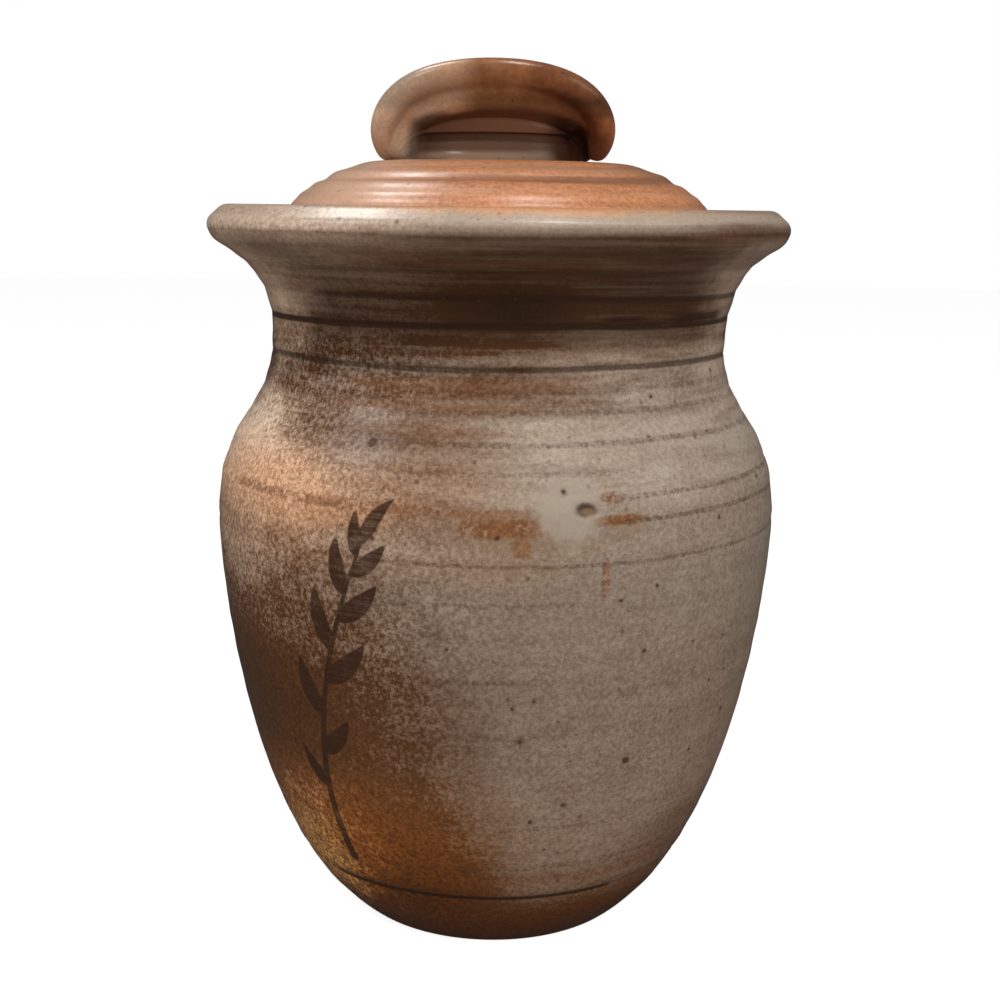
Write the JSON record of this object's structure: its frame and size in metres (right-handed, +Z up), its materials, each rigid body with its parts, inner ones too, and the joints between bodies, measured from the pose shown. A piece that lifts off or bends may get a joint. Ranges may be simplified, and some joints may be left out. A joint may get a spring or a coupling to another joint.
{
  "type": "kitchen canister",
  "caption": "Stoneware food canister: bellied jar with a pinched neck and flared rim, domed lift-off lid set into the mouth, saddle-shaped knob.",
  "frame": {"origin": "middle of the foot's flat underside", "axes": "+Z up along the jar's turning axis; the knob's brim curls up towards -Y and +Y and droops towards -X and +X"},
  "size_m": [0.1656, 0.1656, 0.2457],
  "materials": {
    "jar_glaze": "satin, oatmeal grey breaking to toasted brown",
    "lid_glaze": "satin, tan with iron speckle",
    "knob_glaze": "satin, brown"
  },
  "bodies": {
    "jar": {"jar_body": "jar_glaze"},
    "lid": {"lid": "lid_glaze", "lid_knob": "knob_glaze"}
  },
  "joints": [
    {"name": "lid_lift", "type": "slide", "parent": "jar", "child": "lid", "axis": [0, 0, 1], "range_m": [0, 0.06]}
  ]
}
